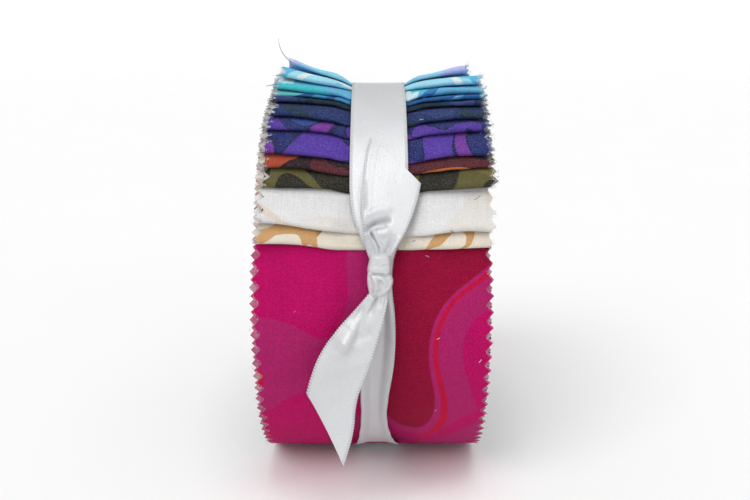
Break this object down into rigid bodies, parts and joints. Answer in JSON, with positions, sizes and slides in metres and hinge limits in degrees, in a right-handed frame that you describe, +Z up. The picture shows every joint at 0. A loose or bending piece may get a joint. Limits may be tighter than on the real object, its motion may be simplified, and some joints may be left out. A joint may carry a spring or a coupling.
{
  "type": "fabric strip roll",
  "caption": "Roll of pinked printed cotton strips, their folded ends stepped over the top and front, tied round the waist with a white satin ribbon, knotted in front with two free ends.",
  "frame": {"origin": "on the surface that the roll stands on, under the middle of its bounding box", "axes": "+Z up; +X across the strips, along the roll's axis, to the right as seen from the front; -Y is the front, where the ribbon's knot is"},
  "size_m": [0.0654, 0.1212, 0.1204],
  "materials": {
    "cotton_magenta": "printed plain-weave cotton",
    "cotton_tan": "printed plain-weave cotton",
    "cotton_cream": "printed plain-weave cotton",
    "cotton_olive": "printed plain-weave cotton",
    "cotton_rust": "printed plain-weave cotton",
    "cotton_grape": "printed plain-weave cotton",
    "cotton_violet": "printed plain-weave cotton",
    "cotton_navy": "printed plain-weave cotton",
    "cotton_pine": "printed plain-weave cotton",
    "cotton_surf": "printed plain-weave cotton",
    "cotton_teal": "printed plain-weave cotton",
    "cotton_aqua": "printed plain-weave cotton",
    "cotton_sky": "printed plain-weave cotton",
    "satin": "white satin ribbon",
    "thread": "loose cotton threads and lint"
  },
  "bodies": {
    "root": {"roll": "cotton_magenta", "strip_tan": "cotton_tan", "strip_cream": "cotton_cream", "strip_olive": "cotton_olive", "strip_rust": "cotton_rust", "strip_grape": "cotton_grape", "strip_violet": "cotton_violet", "strip_navy": "cotton_navy", "strip_pine": "cotton_pine", "strip_surf": "cotton_surf", "strip_teal": "cotton_teal", "strip_aqua": "cotton_aqua", "strip_sky": "cotton_sky", "ribbon_band": "satin", "ribbon_knot": "satin", "ribbon_tail_up": "satin", "ribbon_tail_down": "satin"}
  },
  "joints": []
}
